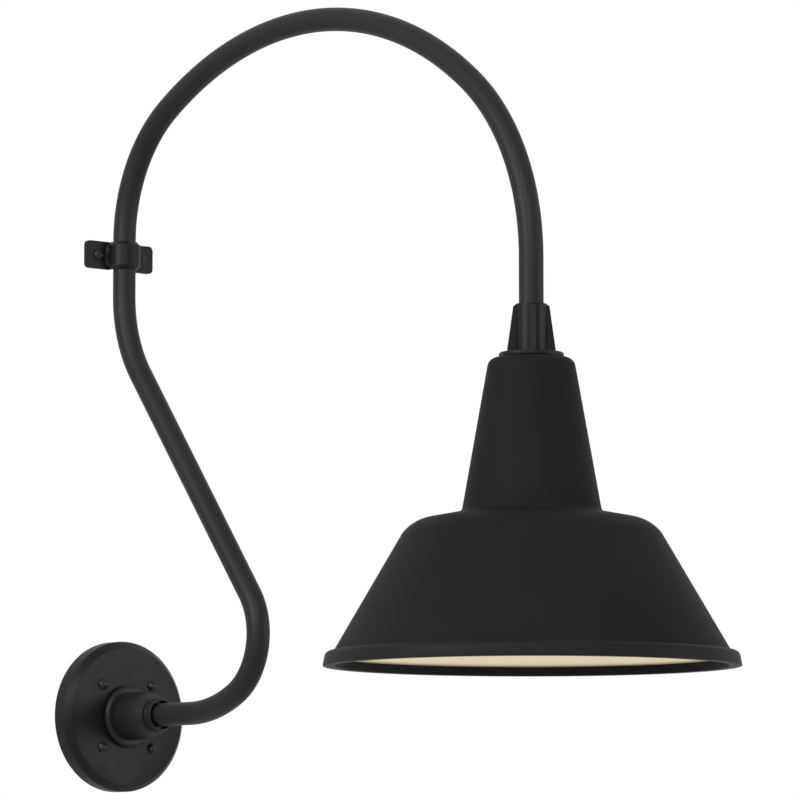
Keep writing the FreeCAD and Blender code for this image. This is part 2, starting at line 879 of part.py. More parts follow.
# The fitter is a round casting with a flange and four tapered fins.
# The tube drops into it from above, the nipple screws into it from below.
def make_fitter():
    body = body_named("fitter")
    flange_top = shade_top + fitter_flange_height
    turned(body, [
        (nipple_radius + slide_gap, shade_top),
        (fitter_gasket_inner_radius, shade_top),
        (fitter_gasket_inner_radius, shade_top + fitter_gasket_thickness),
        (fitter_gasket_outer_radius + easy_gap, shade_top + fitter_gasket_thickness),
        (fitter_gasket_outer_radius + easy_gap, shade_top),
        (fitter_flange_radius, shade_top),
        (fitter_flange_radius, flange_top),
        (fitter_body_radius, flange_top),
        (fitter_body_radius, fitter_top),
        (tube_radius + easy_gap, fitter_top),
        (tube_radius + easy_gap, arm_end),
        (nipple_radius + slide_gap, arm_end),
    ])
    rounded(body, fitter_flange_round, ring_at((fitter_flange_radius, flange_top)))
    rounded(body, fitter_flange_under_round, ring_at((fitter_flange_radius, shade_top)))
    fin_inner = fitter_body_radius - fitter_wall / 2
    fin_sketch = outline(sketch_in(body, "XZ_Plane", turn=fin_half_step_angle.value), [
        (fin_inner, flange_top - easy_gap),
        (fitter_body_radius + fin_foot_reach, flange_top - easy_gap),
        (fitter_body_radius + fin_top_reach, fitter_top - fin_top_drop),
        (fitter_body_radius, fitter_top - easy_gap),
        (fin_inner, fitter_top - easy_gap),
    ])
    fin = padded(body, fin_sketch, fin_thickness, midplane=True)
    fins = body.newObject("PartDesign::PolarPattern", "fitter_fins")
    fins.Originals = [fin]
    fins.Axis = ([f for f in body.Origin.OriginFeatures if f.Role == "Z_Axis"][0], [""])
    fins.Angle = 360
    fins.Occurrences = 4
    body.Tip = fins
    doc.recompute()
    hole = sketch_in(body, "YZ_Plane")
    circle(hole, 0, fitter_screw_height, set_screw_radius + slide_gap)
    pocketed(body, hole, fitter_flange_radius)
    fin_placement(body)


def fin_placement(body):
    """Turns a piece of the fitter about the shade's axis and stands it at the reach."""
    turn = fin_turn_angle - fin_half_step_angle
    body.Placement = Placement(Vector(0, 0, 0), Rotation(Vector(0, 0, 1), turn.value))
    stand_at(body, reach)


def make_fitter_set_screw():
    body = set_screw("fitter_set_screw", fitter_body_radius - tube_radius)
    direction = fin_turn_angle + fin_half_step_angle * 3
    aim = Rotation(Vector(0, 0, 1), direction.value)
    body.Placement = Placement(Vector(0, 0, 0), aim.multiply(axis_x_forward))
    start = tube_radius + slide_gap
    stand_at(body, reach + start * cosine(direction), start * sine(direction), fitter_screw_height)


def make_fitter_gasket():
    body = body_named("fitter_gasket")
    turned(body, [
        (fitter_gasket_inner_radius + easy_gap, shade_top),
        (fitter_gasket_outer_radius, shade_top),
        (fitter_gasket_outer_radius, shade_top + fitter_gasket_thickness),
        (fitter_gasket_inner_radius + easy_gap, shade_top + fitter_gasket_thickness),
    ])
    stand_at(body, reach)


# The shade is one spun shell: a tapered neck, a flat shoulder and a wide cone.
# It is drawn solid, its turns are rounded, and it is hollowed from below.
def make_shade():
    body = body_named("shade")
    cone = tangent(shade_cone_angle)
    dome = tangent(shade_dome_angle)
    over_edge = shade_edge_radius - (shade_neck_foot + dome * shade_neck_foot_radius - shade_edge) * cone
    shoulder_radius = over_edge / (-(dome * cone) + 1)
    shoulder = shade_neck_foot - dome * (shoulder_radius - shade_neck_foot_radius)
    turned(body, [
        (0, shade_top),
        (0, shade_edge),
        (shade_edge_radius, shade_edge),
        (shoulder_radius, shoulder),
        (shade_neck_foot_radius, shade_neck_foot),
        (shade_neck_top_radius, shade_top),
    ])
    rounded(body, shade_crown_round, ring_at((shade_neck_top_radius, shade_top)))
    rounded(body, shade_foot_round, ring_at((shade_neck_foot_radius, shade_neck_foot)))
    rounded(body, shade_shoulder_round, ring_at((shoulder_radius, shoulder)))
    base = body.Tip
    opening = [f"Face{n + 1}" for n, face in enumerate(base.Shape.Faces)
               if near(face.BoundBox.ZMax, shade_edge.value)]
    shell = body.newObject("PartDesign::Thickness", "shade_shell")
    shell.Base = (base, opening)
    shell.Reversed = True
    shell.setExpression("Value", shade_wall.text)
    doc.recompute()
    hole = circle(sketch_in(body, "XY_Plane", shade_top), 0, 0, nipple_radius + easy_gap)
    pocketed(body, hole, shade_wall * 2)
    stand_at(body, reach)


# The rim is a heavy ring under the cone; the shade's edge stands in its seat.
def make_shade_rim():
    body = body_named("shade_rim")
    cone = tangent(shade_cone_angle)
    inner_radius = shade_edge_radius - rim_ledge
    outer_radius = shade_edge_radius + rim_thickness
    foot_radius = outer_radius + rim_flare
    rim_top = shade_edge + rim_rise
    seat_radius = shade_edge_radius + easy_gap
    turned(body, [
        (inner_radius, mouth_height),
        (foot_radius, mouth_height),
        (outer_radius, rim_top),
        (seat_radius - cone * rim_rise, rim_top),
        (seat_radius, shade_edge),
        (inner_radius, shade_edge),
    ])
    rounded(body, rim_shoulder_round, ring_at((outer_radius, rim_top)))
    rounded(body, rim_edge_round, ring_at((foot_radius, mouth_height), (inner_radius, mouth_height)))
    stand_at(body, reach)


def make_nipple():
    body = body_named("nipple")
    bore_radius = nipple_radius - nipple_wall
    bottom = bridge_top - bridge_thickness - nipple_nut_height - nipple_past_nut
    turned(body, [
        (bore_radius, bottom),
        (nipple_radius, bottom),
        (nipple_radius, arm_end - nipple_top_gap),
        (bore_radius, arm_end - nipple_top_gap),
    ])
    stand_at(body, reach)


def make_shade_washer():
    body = body_named("shade_washer")
    top = shade_top - shade_wall
    turned(body, [
        (nipple_radius + easy_gap, top - washer_thickness),
        (washer_radius, top - washer_thickness),
        (washer_radius, top),
        (nipple_radius + easy_gap, top),
    ])
    stand_at(body, reach)


def make_nipple_nuts():
    """One nut holds the shade up to the fitter, the other holds the bridge under it."""
    nut = hexagon_nut("nipple_nut", nipple_nut_flats, nipple_nut_height, nipple_radius + slide_gap)
    stand_at(nut, reach, None, bridge_top)
    lower = bridge_top - bridge_thickness - nipple_nut_height
    linked_group("nipple_nuts", nut, [(reach, as_size(0), lower)])


# The bridge is a hat-shaped strap; the lampholder is screwed to its feet.
def make_holder_bridge():
    body = body_named("holder_bridge")
    half_length = holder_screw_offset + bridge_past_screw
    inner = bridge_half_plateau - bridge_thickness
    foot_top = holder_top + bridge_thickness
    sketch = outline(sketch_in(body, "YZ_Plane"), [
        (-half_length, holder_top),
        (-inner, holder_top),
        (-inner, bridge_top - bridge_thickness),
        (inner, bridge_top - bridge_thickness),
        (inner, holder_top),
        (half_length, holder_top),
        (half_length, foot_top),
        (bridge_half_plateau, foot_top),
        (bridge_half_plateau, bridge_top),
        (-bridge_half_plateau, bridge_top),
        (-bridge_half_plateau, foot_top),
        (-half_length, foot_top),
    ])
    padded(body, sketch, bridge_width, midplane=True)
    centre = circle(sketch_in(body, "XY_Plane", bridge_top), 0, 0, nipple_radius + easy_gap)
    pocketed(body, centre, bridge_thickness * 2)
    taps = sketch_in(body, "XY_Plane", foot_top)
    for side in (holder_screw_offset, -holder_screw_offset):
        circle(taps, 0, side, holder_screw_radius + slide_gap)
    pocketed(body, taps, bridge_thickness * 2)
    stand_at(body, reach)


def make_holder_screws():
    """Up through the lampholder's flange into the bridge's feet."""
    body = body_named("holder_screw")
    length = holder_flange_height + bridge_thickness * 2
    turned(body, [
        (0, -holder_head_height),
        (holder_head_radius, -holder_head_height),
        (holder_head_radius, 0),
        (holder_screw_radius, 0),
        (holder_screw_radius, length),
        (0, length),
    ])
    cut = sketch_in(body, "XZ_Plane")
    outline(cut, [
        (slot_width / 2, -holder_head_height / 2),
        (-(slot_width / 2), -holder_head_height / 2),
        (-(slot_width / 2), -holder_head_height * 2),
        (slot_width / 2, -holder_head_height * 2),
    ])
    pocketed(body, cut, holder_head_radius * 4, midplane=True)
    underside = holder_top - holder_flange_height
    stand_at(body, reach, -holder_screw_offset, underside)
    linked_group("holder_screws", body, [(reach, holder_screw_offset, underside)])


# The lampholder is a porcelain cup with a flange, its open side down.
def make_lampholder():
    body = body_named("lampholder")
    floor_top = holder_top - holder_pocket_height
    bore_radius = shell_outer_radius + easy_gap
    flange_bottom = holder_top - holder_flange_height
    bottom = holder_floor - shell_length - porcelain_past_shell
    turned(body, [
        (contact_stem_radius + slide_gap, holder_floor),
        (bore_radius, holder_floor),
        (bore_radius, bottom),
        (holder_body_radius, bottom),
        (holder_body_radius, flange_bottom),
        (holder_flange_radius, flange_bottom),
        (holder_flange_radius, holder_top),
        (holder_pocket_radius, holder_top),
        (holder_pocket_radius, floor_top),
        (contact_stem_radius + slide_gap, floor_top),
    ])
    rounded(body, porcelain_round, ring_at(
        (holder_body_radius, bottom),
        (holder_flange_radius, flange_bottom),
        (holder_flange_radius, holder_top),
    ))
    rounded(body, porcelain_round, ring_at((holder_body_radius, flange_bottom)))
    holes = sketch_in(body, "XY_Plane", holder_top)
    for side in (holder_screw_offset, -holder_screw_offset):
        circle(holes, 0, side, holder_screw_radius + easy_gap)
    pocketed(body, holes, holder_flange_height * 2)
    blind = sketch_in(body, "XY_Plane", holder_top)
    for across in (terminal_offset, -terminal_offset):
        circle(blind, across, 0, holder_screw_radius + slide_gap)
    pocketed(body, blind, terminal_screw_length)
    stand_at(body, reach)


def make_screw_shell():
    """The brass sleeve the lamp screws into; its narrower closed end stands on the porcelain floor."""
    body = body_named("screw_shell")
    top = holder_floor
    step = top - shell_length + shell_sleeve_length
    turned(body, [
        (shell_hole_radius, top),
        (shell_hole_radius, top - shell_wall),
        (shell_inner_radius - shell_step, top - shell_wall),
        (shell_inner_radius - shell_step, step),
        (shell_inner_radius, step),
        (shell_inner_radius, top - shell_length),
        (shell_outer_radius, top - shell_length),
        (shell_outer_radius, step + shell_wall),
        (shell_outer_radius - shell_step, step + shell_wall),
        (shell_outer_radius - shell_step, top),
    ])
    stand_at(body, reach)


def make_centre_contact():
    """A plunger through the porcelain floor; the disc on its stem keeps it from falling out."""
    body = body_named("centre_contact")
    floor_top = holder_top - holder_pocket_height
    button_top = holder_floor - contact_stroke - easy_gap
    button_bottom = button_top - contact_button_height
    turned(body, [
        (0, button_bottom),
        (contact_button_radius, button_bottom),
        (contact_button_radius, button_top),
        (contact_stem_radius, button_top),
        (contact_stem_radius, floor_top),
        (contact_disc_radius, floor_top),
        (contact_disc_radius, floor_top + contact_disc_height),
        (0, floor_top + contact_disc_height),
    ])
    stand_at(body, reach)


def make_contact_spring():
    """A small coil between the plunger's disc and the terminal plate over the pocket."""
    body = body_named("contact_spring")
    foot = holder_top - holder_pocket_height + contact_disc_height
    height = holder_pocket_height - contact_disc_height - spring_wire_radius * 2
    wire = circle(sketch_in(body, "XZ_Plane"), spring_coil_radius, foot + spring_wire_radius, spring_wire_radius)
    doc.recompute()
    coil = body.newObject("PartDesign::AdditiveHelix", "contact_spring_coil")
    coil.Profile = wire
    coil.ReferenceAxis = (wire, ["V_Axis"])
    coil.Mode = "height-turns-angle"
    coil.setExpression("Height", height.text)
    coil.setExpression("Turns", spring_turns.text)
    doc.recompute()
    stand_at(body, reach)


def make_terminal_plates():
    """Two brass plates on the porcelain; one reaches over the spring's pocket."""
    for label, inner in (("shell_terminal", terminal_offset - terminal_length / 2),
                         ("contact_terminal", -holder_pocket_radius)):
        body = body_named(label)
        outer = terminal_offset + terminal_length / 2
        half = terminal_width / 2
        sketch = outline(sketch_in(body, "XY_Plane", holder_top), [
            (inner, -half),
            (outer, -half),
            (outer, half),
            (inner, half),
        ])
        padded(body, sketch, terminal_thickness)
        hole = sketch_in(body, "XY_Plane", holder_top + terminal_thickness)
        circle(hole, terminal_offset, 0, holder_screw_radius + easy_gap)
        pocketed(body, hole, terminal_thickness * 2)
        if label == "shell_terminal":
            body.Placement = Placement(Vector(0, 0, 0), Rotation(Vector(0, 0, 1), 180))
        stand_at(body, reach)


def make_terminal_screws():
    body = body_named("terminal_screw")
    top = holder_top + terminal_thickness
    turned(body, [
        (0, -(terminal_screw_length - easy_gap)),
        (holder_screw_radius, -(terminal_screw_length - easy_gap)),
        (holder_screw_radius, 0),
        (holder_head_radius, 0),
        (holder_head_radius, holder_head_height),
        (0, holder_head_height),
    ])
    cut_slot(body, holder_head_radius, holder_head_height, slot_width, holder_head_height / 2)
    stand_at(body, reach + terminal_offset, None, top)
    linked_group("terminal_screws", body, [(reach - terminal_offset, as_size(0), top)])


make_wall_plate()
make_wall_gasket()
make_plate_screws()
make_ground_screw()
make_hub()
make_hub_locknut()
make_hub_set_screw()
make_collar_nut()
make_arm_seal()
make_arm()
make_strap_clamp()
make_clamp_screws()
make_fitter()
make_fitter_set_screw()
make_fitter_gasket()
make_shade()
make_shade_rim()
make_nipple()
make_shade_washer()
make_nipple_nuts()
make_holder_bridge()
make_holder_screws()
make_lampholder()
make_screw_shell()
make_centre_contact()
make_contact_spring()
make_terminal_plates()
make_terminal_screws()
doc.recompute()

pieces = [
    "wall_plate", "wall_gasket", "plate_screws", "ground_screw",
    "hub", "hub_locknut", "hub_set_screw", "collar_nut", "arm_seal", "arm",
    "strap_clamp", "clamp_screws",
    "fitter", "fitter_set_screw", "fitter_gasket", "shade", "shade_rim",
    "nipple", "shade_washer", "nipple_nuts", "holder_bridge", "holder_screws",
    "lampholder", "screw_shell", "centre_contact", "contact_spring",
    "shell_terminal", "contact_terminal", "terminal_screws",
]

for thing in doc.Objects:
    if "Invalid" in thing.State or "Error" in thing.State:
        raise RuntimeError(f"{thing.Label} did not build")
for label in pieces:
    shape = doc.getObjectsByLabel(label)[0].Shape
    if shape.isNull() or not shape.isValid() or not shape.Solids:
        raise RuntimeError(f"{label} is not a sound solid")

os.makedirs("parts", exist_ok=True)
for label in pieces:
    doc.getObjectsByLabel(label)[0].Shape.exportStep(f"parts/{label}.step")
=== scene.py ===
import math

import bmesh
import bpy
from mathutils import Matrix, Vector


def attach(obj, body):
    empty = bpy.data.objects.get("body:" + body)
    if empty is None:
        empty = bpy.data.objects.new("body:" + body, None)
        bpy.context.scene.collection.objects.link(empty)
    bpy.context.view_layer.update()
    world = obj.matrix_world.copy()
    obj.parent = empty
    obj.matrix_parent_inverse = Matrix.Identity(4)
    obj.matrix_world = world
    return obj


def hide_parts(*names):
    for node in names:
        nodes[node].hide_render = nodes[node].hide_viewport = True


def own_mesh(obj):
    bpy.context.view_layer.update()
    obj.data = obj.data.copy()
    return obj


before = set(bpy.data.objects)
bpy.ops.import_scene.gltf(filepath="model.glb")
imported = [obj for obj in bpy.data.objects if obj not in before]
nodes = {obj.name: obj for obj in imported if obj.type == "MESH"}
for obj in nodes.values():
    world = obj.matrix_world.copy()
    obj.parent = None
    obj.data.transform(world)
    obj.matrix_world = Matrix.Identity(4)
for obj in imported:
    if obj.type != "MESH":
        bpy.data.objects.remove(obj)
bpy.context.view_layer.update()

bpy.ops.object.select_all(action="DESELECT")


# Wall plate: a die-cast dish with a chamfered edge, powder coated matt black, hollow side to the wall.
# It has four posts for the slotted dome-head screws that hold it and one for the earth screw.
class Socket:
    """An output of a material's nodes that can be used in sums."""

    def __init__(self, finish, output):
        self.finish = finish
        self.output = output

    def __add__(self, other):
        return self.finish.maths("ADD", self, other)

    def __mul__(self, other):
        return self.finish.maths("MULTIPLY", self, other)

    __radd__ = __add__
    __rmul__ = __mul__


class Finish:
    """One material, built node by node from the piece's own coordinates."""

    def __init__(self, name, **constants):
        self.material = bpy.data.materials.new(name)
        self.material.use_nodes = True
        self.tree = self.material.node_tree
        self.shader = self.tree.nodes["Principled BSDF"]
        for socket, value in constants.items():
            self.shader.inputs[socket.replace("_", " ")].default_value = value
        self.place = self.node("ShaderNodeTexCoord", output="Object")

    def node(self, kind, settings=None, inputs=None, output=0):
        node = self.tree.nodes.new(kind)
        for name, value in (settings or {}).items():
            setattr(node, name, value)
        for name, value in (inputs or {}).items():
            self.feed(node.inputs[name], value)
        return Socket(self, node.outputs[output])

    def feed(self, target, value):
        if isinstance(value, Socket):
            self.tree.links.new(value.output, target)
        else:
            target.default_value = value

    def maths(self, operation, first, second):
        return self.node("ShaderNodeMath", {"operation": operation}, {0: first, 1: second})

    def noise(self, scale, detail=2.0):
        return self.node("ShaderNodeTexNoise", None, {
            "Vector": self.place, "Scale": scale, "Detail": detail,
        }, output="Fac")

    def spread(self, value, first=0.0, last=1.0, low=0.3, high=0.7):
        """A noise stretched from low..high to first..last, held at both ends."""
        return self.node("ShaderNodeMapRange", {"clamp": True}, {
            "Value": value, "From Min": low, "From Max": high, "To Min": first, "To Max": last,
        })

    def blend(self, amount, first, second):
        """A colour between two, by an amount."""
        return self.node("ShaderNodeMix", {"data_type": "RGBA"}, {0: amount, 6: first, 7: second}, output=2)

    def set(self, socket, value):
        self.feed(self.shader.inputs[socket], value)

    def bump(self, height, strength, distance):
        self.set("Normal", self.node("ShaderNodeBump", None, {
            "Height": height, "Strength": strength, "Distance": distance,
        }))


def powder_coat(name, dark, light, sheen, roughness, grain=900.0):
    """Matt black powder coat: fine orange peel, faint clouding and small changes of gloss."""
    coat = Finish(name, IOR=1.46, Specular_IOR_Level=sheen)
    cloud = coat.spread(coat.noise(9.0, detail=3.0))
    speck = coat.spread(coat.noise(grain * 1.8, detail=1.0), low=0.62, high=0.8)
    tone = cloud * 0.75 + speck * 0.25
    coat.set("Base Color", coat.blend(tone, (dark, dark, dark, 1), (light, light, light, 1)))
    gloss_change = 0.02
    patches = coat.noise(60.0, detail=3.0)
    coat.set("Roughness", coat.spread(patches, roughness - gloss_change, roughness + gloss_change))
    peel = coat.noise(grain) + coat.noise(grain * 0.31) * 0.4
    coat.bump(peel, strength=0.12, distance=0.0004)
    return coat.material


corner_angle = math.radians(28)


def wear(node_name, material):
    """Gives a CAD piece its material and smooth shading with crisp corners."""
    piece = nodes[node_name]
    piece.data.materials.clear()
    piece.data.materials.append(material)
    piece.data.shade_smooth()
    weld = piece.modifiers.new("weld", "WELD")
    weld.merge_threshold = 0.000002
    corners = piece.modifiers.new("corners", "EDGE_SPLIT")
    corners.split_angle = corner_angle


# The plate's coat is the hub's black powder coat toned darker, as painted shade; the strap clamp and fitter
# wear it too.
shaded_copy_coat = powder_coat("black_shaded_copy_coat", dark=0.0045, light=0.0065, sheen=0.13, roughness=0.42)
wear("wall_plate", shaded_copy_coat)

screw_coat = powder_coat("black_screw_coat", dark=0.0050, light=0.0075, sheen=0.22, roughness=0.38,
                         grain=2200.0)
wear("plate_screws", screw_coat)

# Wall gasket: a soft black rubber ring in the plate's rebate.
# It is pressed between plate and wall and keeps the rain out of the hollow.
rubber = Finish("black_rubber", IOR=1.5, Specular_IOR_Level=0.3)
rubber.set("Base Color", rubber.blend(rubber.noise(40.0), (0.020, 0.020, 0.020, 1), (0.034, 0.033, 0.032, 1)))
rubber.set("Roughness", rubber.spread(rubber.noise(120.0), 0.72, 0.88))
rubber.bump(rubber.noise(1400.0), strength=0.25, distance=0.0003)
wear("wall_gasket", rubber.material)

# Earth screw: a small steel screw, dyed green, in the plate's short post.
# The earth wire from the wall is clamped under its head.
green_dye = Finish("green_dyed_steel", Metallic=1.0)
dye_cloud = green_dye.noise(300.0)
green_dye.set("Base Color", green_dye.blend(dye_cloud, (0.03, 0.22, 0.07, 1), (0.05, 0.33, 0.11, 1)))
green_dye.set("Roughness", green_dye.spread(green_dye.noise(500.0), 0.30, 0.48))
green_dye.bump(green_dye.noise(900.0), strength=0.1, distance=0.0002)
wear("ground_screw", green_dye.material)

# Hub and collar nut: cast and turned pieces in the same black powder coat as the plate, toned lighter here as
# painted light, with a rubber seal on the tube.
# The hub's tail goes through the plate to a zinc-plated lock nut; a blackened set screw holds the tube.
lit_copy_coat = powder_coat("black_lit_copy_coat", dark=0.0065, light=0.0090, sheen=0.17, roughness=0.42)
wear("hub", lit_copy_coat)
wear("collar_nut", lit_copy_coat)
wear("arm_seal", rubber.material)

zinc = Finish("zinc_plate", Metallic=1.0)
zinc_cloud = zinc.noise(70.0, detail=4.0)
zinc.set("Base Color", zinc.blend(zinc_cloud, (0.52, 0.53, 0.56, 1), (0.68, 0.68, 0.70, 1)))
zinc.set("Roughness", zinc.spread(zinc.noise(260.0, detail=3.0), 0.28, 0.45))
zinc.bump(zinc.noise(800.0, detail=3.0), strength=0.12, distance=0.0002)
wear("hub_locknut", zinc.material)

black_steel = Finish("blackened_steel", Metallic=1.0)
steel_cloud = black_steel.noise(200.0)
black_steel.set("Base Color", black_steel.blend(steel_cloud, (0.03, 0.03, 0.032, 1), (0.06, 0.06, 0.062, 1)))
black_steel.set("Roughness", black_steel.spread(black_steel.noise(400.0), 0.35, 0.5))
black_steel.bump(black_steel.noise(900.0), strength=0.12, distance=0.0002)
wear("hub_set_screw", black_steel.material)


# Arm: half-inch pipe, cold bent in one piece and powder coated.
# It leaves the hub level, bends back to the wall, passes the clamp and arches over to the shade.
def finish_piece(piece, name, material, replaced):
    """Applies a new piece's place and modifiers, and ties it to the fixed body."""
    if bpy.context.mode == "EDIT_MESH":
        bpy.ops.object.mode_set(mode="OBJECT")
    bpy.ops.object.select_all(action="DESELECT")
    piece.select_set(True)
    bpy.context.view_layer.objects.active = piece
    piece.name = name
    piece.data.name = name
    if not piece.data.materials:
        piece.data.materials.append(material)
    bpy.ops.object.transform_apply(location=True, rotation=True, scale=True)
    for modifier in list(piece.modifiers):
        bpy.ops.object.modifier_apply(modifier=modifier.name)
    bpy.ops.object.shade_smooth_by_angle(angle=corner_angle)
    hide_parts(*replaced)
    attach(piece, "fixture")
    piece.select_set(False)


def face_outwards():
    """Merges doubles and turns all faces outwards, in edit mode."""
    bpy.ops.mesh.select_all(action="SELECT")
    bpy.ops.mesh.remove_doubles(threshold=0.000001)
    bpy.ops.mesh.normals_make_consistent(inside=False)


def add_wall(piece, thickness):
    """A sheet or tube wall on the inside of the drawn surface."""
    wall = piece.modifiers.new("wall", "SOLIDIFY")
    wall.thickness = thickness
    wall.offset = -1.0
    wall.use_even_offset = True
    wall.use_rim = True
    return wall


tube_radius = 0.01065
tube_wall = 0.0020
tube_sides = 64
arm_start = 0.030
arm_end = 0.305
arm_offset = 0.011
shade_axis = 0.5765
first_run = 0.1135
sweep_bend = 0.140
sweep = math.radians(27.5)
first_bend = 0.0605
second_bend = 0.125
clamp_foot = 0.3955
arch_foot = 0.4483
rise_bend = 0.138
rise = math.radians(57.8)
top = math.radians(129.3)
fall_foot = 0.3766

bpy.ops.mesh.primitive_circle_add(vertices=tube_sides, radius=tube_radius, location=(arm_start, 0, 0),
                                  rotation=(0, math.radians(90), 0), fill_type="NOTHING")
arm = bpy.context.object
bpy.ops.object.transform_apply(location=True, rotation=True, scale=True)
bpy.ops.object.mode_set(mode="EDIT")
bpy.ops.mesh.select_all(action="SELECT")

# A turn to the left leans the open end back to the wall, a turn to the right leans it over the room.
to_left = (0, 1, 0)
to_right = (0, -1, 0)


def run_straight(across, up):
    bpy.ops.mesh.extrude_region_move(TRANSFORM_OT_translate={"value": (across, 0, up)})


def bend(centre_across, centre_up, angle, turn, steps):
    """Carries the open end of the tube round a centre in the arm's plane."""
    bpy.ops.mesh.spin(steps=steps, angle=angle, center=(centre_across, 0, centre_up), axis=turn)


# The first bend starts wide and then tightens; the leaning stretch just touches it and the next one.
first_centre = (first_run + (sweep_bend - first_bend) * math.sin(sweep),
                sweep_bend - (sweep_bend - first_bend) * math.cos(sweep))
across = first_centre[0] - arm_offset - second_bend
along = clamp_foot - first_centre[1]
lean = math.atan2(across, along) + math.asin((first_bend + second_bend) / math.hypot(across, along))
lean_foot = (first_centre[0] + first_bend * math.cos(lean), first_centre[1] + first_bend * math.sin(lean))
lean_top = (arm_offset + second_bend * (1 - math.cos(lean)), clamp_foot - second_bend * math.sin(lean))
run_straight(first_run - arm_start, 0)
bend(first_run, sweep_bend, sweep, to_left, steps=16)
bend(first_centre[0], first_centre[1], math.radians(90) + lean - sweep, to_left, steps=44)
run_straight(lean_top[0] - lean_foot[0], lean_top[1] - lean_foot[1])
bend(arm_offset + second_bend, clamp_foot, lean, to_right, steps=20)
run_straight(0, arch_foot - clamp_foot)

# The last two bends of the arch share out the width and the drop between the first one and the fitter.
rise_end = (arm_offset + rise_bend * (1 - math.cos(rise)), arch_foot + rise_bend * math.sin(rise))
width_left = shade_axis - rise_end[0]
drop_left = rise_end[1] - fall_foot
top_width = math.cos(rise) - math.cos(top)
top_drop = math.sin(rise) - math.sin(top)
fall_width = 1 + math.cos(top)
fall_drop = math.sin(top)
both = top_width * fall_drop - fall_width * top_drop
top_bend = (width_left * fall_drop - drop_left * fall_width) / both
fall_bend = (drop_left * top_width - width_left * top_drop) / both
top_centre = (rise_end[0] + top_bend * math.cos(rise), rise_end[1] - top_bend * math.sin(rise))
bend(arm_offset + rise_bend, arch_foot, rise, to_right, steps=26)
bend(top_centre[0], top_centre[1], top - rise, to_right, steps=48)
bend(shade_axis - fall_bend, fall_foot, math.pi - top, to_right, steps=28)
run_straight(0, arm_end - fall_foot)
face_outwards()
add_wall(arm, tube_wall)
# The arm's coat is toned a little lighter than the hub's as painted light, standing in for the tube's
# highlights.
arm_coat = powder_coat("black_arm_coat", dark=0.0068, light=0.0095, sheen=0.16, roughness=0.48)
finish_piece(arm, "bent_arm", arm_coat, ("arm",))


# Strap clamp: a cast strap round the tube with a lug on each side, coated black.
# Two slotted screws, coated like those of the plate, hold it to the wall.
# The strap wears the plate's darker-toned copy of the coat, which paints shade.
wear("strap_clamp", shaded_copy_coat)
wear("clamp_screws", screw_coat)

# Fitter: a cast coupling with four fins; the tube drops in from above, a set screw locks it.
# A thin rubber ring seals its flange to the top of the shade.
# The fitter wears the plate's darker-toned copy of the coat, which paints shade.
wear("fitter", shaded_copy_coat)
wear("fitter_set_screw", black_steel.material)
wear("fitter_gasket", rubber.material)


# Shade: one spun sheet, matt black outside and warm white enamel inside.
# The neck, shoulder and cone are drawn ring by ring and their turns are rolled round.
def ring_up(rings, axis_at, count):
    """Starts a circle and carries it from ring to ring; a ring is (radius, height)."""
    bpy.ops.mesh.primitive_circle_add(vertices=count, radius=rings[0][0], fill_type="NOTHING",
                                      location=(axis_at[0], axis_at[1], rings[0][1]))
    piece = bpy.context.object
    bpy.ops.object.transform_apply(location=True, rotation=True, scale=True)
    bpy.ops.object.mode_set(mode="EDIT")
    bpy.ops.mesh.select_all(action="SELECT")
    for before, after in zip(rings, rings[1:]):
        bpy.ops.mesh.extrude_region_move(TRANSFORM_OT_translate={"value": (0, 0, after[1] - before[1])})
        share = after[0] / before[0]
        bpy.ops.transform.resize(value=(share, share, 1), center_override=(axis_at[0], axis_at[1], after[1]))
    return piece


def pick_ring(piece, axis_at, ring):
    """Selects the edges that lie along a ring."""
    radius, height = ring
    near = 0.00002
    bpy.ops.mesh.select_all(action="DESELECT")
    bpy.ops.mesh.select_mode(type="EDGE")
    mesh = bmesh.from_edit_mesh(piece.data)
    for edge in mesh.edges:
        ends = [vertex.co - Vector((axis_at[0], axis_at[1], 0)) for vertex in edge.verts]
        if all(abs(end.z - height) < near and abs(end.xy.length - radius) < near for end in ends):
            edge.select = True
    bmesh.update_edit_mesh(piece.data)


def roll_turn(piece, axis_at, ring, radius, turn_angle, steps):
    """Rounds one ring of the piece to a radius; the turn angle is between the walls that meet there."""
    pick_ring(piece, axis_at, ring)
    reach = radius * math.tan(turn_angle / 2)
    bpy.ops.mesh.bevel(offset=reach, offset_type="OFFSET", segments=steps, profile=0.5)


enamel = Finish("warm_white_enamel", IOR=1.5, Specular_IOR_Level=0.45, Coat_Weight=0.15, Coat_Roughness=0.25)
enamel_cloud = enamel.noise(14.0, detail=3.0)
enamel.set("Base Color", enamel.blend(enamel_cloud, (0.87, 0.765, 0.575, 1), (0.91, 0.805, 0.615, 1)))
enamel.set("Roughness", enamel.spread(enamel.noise(50.0), 0.32, 0.46))
enamel.bump(enamel.noise(420.0), strength=0.12, distance=0.0003)

shade_top = 0.289
nipple_hole = (0.0053, shade_top)
neck_top = (0.03645, shade_top)
neck_foot = (0.0599, 0.157)
shade_edge = (0.1718, 0.0333)
crown_round = 0.008
neck_foot_round = 0.005
shoulder_round = 0.0294
sheet_thickness = 0.0015
square = math.radians(90)
dome_fall = math.radians(10.8)
cone_angle = math.radians(30.2)
dome_slope = math.tan(dome_fall)
cone_slope = math.tan(cone_angle)
over_edge = shade_edge[0] - (neck_foot[1] + dome_slope * neck_foot[0] - shade_edge[1]) * cone_slope
shoulder_radius = over_edge / (1 - dome_slope * cone_slope)
shoulder = (shoulder_radius, neck_foot[1] - dome_slope * (shoulder_radius - neck_foot[0]))
neck_angle = math.atan2(neck_foot[0] - neck_top[0], neck_top[1] - neck_foot[1])
dome_angle = square - dome_fall
axis_at = (shade_axis, 0)

